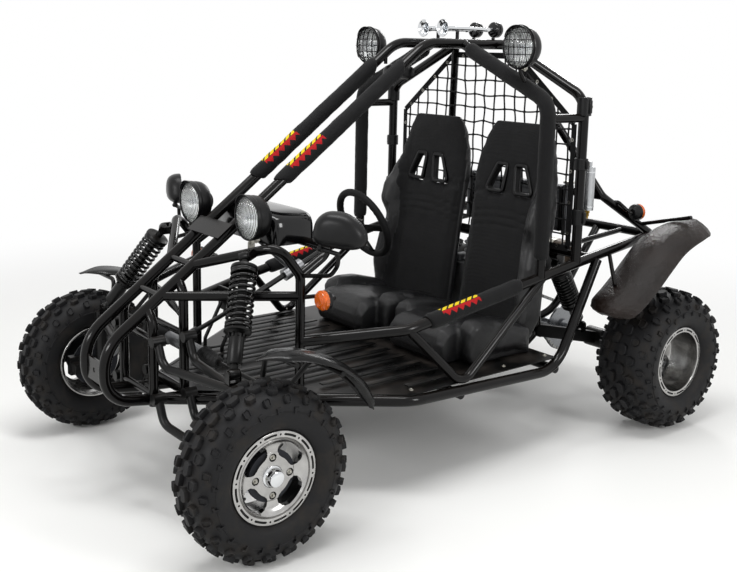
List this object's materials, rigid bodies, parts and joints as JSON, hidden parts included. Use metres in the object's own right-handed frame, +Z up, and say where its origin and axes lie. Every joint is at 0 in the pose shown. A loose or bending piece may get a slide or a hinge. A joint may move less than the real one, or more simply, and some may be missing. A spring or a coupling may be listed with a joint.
{
  "type": "dune buggy",
  "caption": "Side-by-side off-road buggy with a round-tube roll cage, bucket seats, knobbly tyres, steered front wheels on double arms and a driven rear axle.",
  "frame": {"origin": "on the ground under the middle of the whole vehicle", "axes": "+Z up, the front looks along -Y, the vehicle's left is +X"},
  "size_m": [1.574, 2.406, 1.596],
  "materials": {
    "frame_paint": "gloss",
    "arm_paint": "satin",
    "floor_paint": "textured",
    "spring_paint": "gloss",
    "steel": "satin",
    "iron": "rough",
    "rim_metal": "machined",
    "engine_metal": "cast",
    "core_metal": "satin",
    "bright": "mirror",
    "tyre_rubber": "matte",
    "grip_rubber": "matte",
    "pad_cloth": "woven",
    "seat_cover": "grained",
    "webbing": "woven",
    "plastic": "grained",
    "shell_plastic": "gloss",
    "amber": "gloss",
    "clear": "gloss"
  },
  "bodies": {
    "chassis": {"arms_front": "arm_paint", "belt_case": "engine_metal", "brackets": "frame_paint", "canister": "bright", "dash": "shell_plastic", "engine": "engine_metal", "exhaust": "iron", "fender_stays": "frame_paint", "fenders_rear": "plastic", "floor_pan": "floor_paint", "frame_dash": "frame_paint", "frame_front": "frame_paint", "frame_lower": "frame_paint", "frame_pads": "pad_cloth", "frame_rear": "frame_paint", "frame_spine": "frame_paint", "frame_uprights": "frame_paint", "fuel_tank": "plastic", "hoop_front": "frame_paint", "hoop_rear": "frame_paint", "horn_drivers": "shell_plastic", "horns": "bright", "indicator_lenses": "amber", "indicators": "plastic", "lamp_lenses": "clear", "lamp_shells": "shell_plastic", "mirrors": "plastic", "net": "webbing", "nose_plates": "arm_paint", "pedals": "arm_paint", "rack_boots": "grip_rubber", "rack_housing": "engine_metal", "radiator": "core_metal", "seat_backs": "seat_cover", "seat_bases": "seat_cover", "shock_mounts": "arm_paint", "shocks": "spring_paint", "side_rails": "frame_paint", "springs": "spring_paint", "swing_arm": "arm_paint"},
    "knuckle_l": {"knuckle_left": "iron", "fender_front_left": "plastic"},
    "knuckle_r": {"knuckle_right": "iron", "fender_front_right": "plastic"},
    "wheel_front_l": {"tyre_front_left": "tyre_rubber", "rim_front_left": "rim_metal", "hub_front_left": "steel"},
    "wheel_front_r": {"tyre_front_right": "tyre_rubber", "rim_front_right": "rim_metal", "hub_front_right": "steel"},
    "wheels_rear": {"rear_axle": "steel", "rims_rear": "rim_metal", "tyres_rear": "tyre_rubber"},
    "wheel_steering": {"steering_wheel": "grip_rubber", "steering_shaft": "steel"},
    "shaft_steering": {"steering_joint_shaft": "steel"},
    "rack": {"tie_rods": "steel"}
  },
  "joints": [
    {"name": "steer_left", "type": "hinge", "parent": "chassis", "child": "knuckle_l", "pos_m": [0.512, -0.9365, 0.334], "axis": [0, 0, 1], "range_deg": [-25, 25]},
    {"name": "steer_right", "type": "hinge", "parent": "chassis", "child": "knuckle_r", "pos_m": [-0.512, -0.9365, 0.334], "axis": [0, 0, 1], "range_deg": [-25.5, 25.5]},
    {"name": "rack_slide", "type": "slide", "parent": "chassis", "child": "rack", "axis": [1, 0, 0], "range_m": [-0.039, 0.039]},
    {"name": "joint_shaft_turn", "type": "hinge", "parent": "chassis", "child": "shaft_steering", "pos_m": [-0.0882, -0.8005, 0.461], "axis": [-0.4686, 0.8786, 0.0926], "range_deg": [-272, 272]},
    {"name": "steering_wheel_turn", "type": "hinge", "parent": "chassis", "child": "wheel_steering", "pos_m": [-0.245, 0.0685, 0.745], "axis": [0, 0.9153, 0.4027], "range_deg": [-272, 272]},
    {"name": "wheel_front_left_spin", "type": "hinge", "parent": "knuckle_l", "child": "wheel_front_l", "pos_m": [0.64, -0.9365, 0.2665], "axis": [1, 0, 0], "continuous": true},
    {"name": "wheel_front_right_spin", "type": "hinge", "parent": "knuckle_r", "child": "wheel_front_r", "pos_m": [-0.64, -0.9365, 0.2665], "axis": [1, 0, 0], "continuous": true},
    {"name": "rear_axle_spin", "type": "hinge", "parent": "chassis", "child": "wheels_rear", "pos_m": [0, 0.9235, 0.2795], "axis": [1, 0, 0], "continuous": true}
  ],
  "couplings": [
    {"joint": "steer_right", "follows": "steer_left", "ratio": 1},
    {"joint": "rack_slide", "follows": "steer_left", "m_per_rad": -0.0872},
    {"joint": "joint_shaft_turn", "follows": "steer_left", "ratio": 10.8},
    {"joint": "steering_wheel_turn", "follows": "steer_left", "ratio": 10.8}
  ]
}
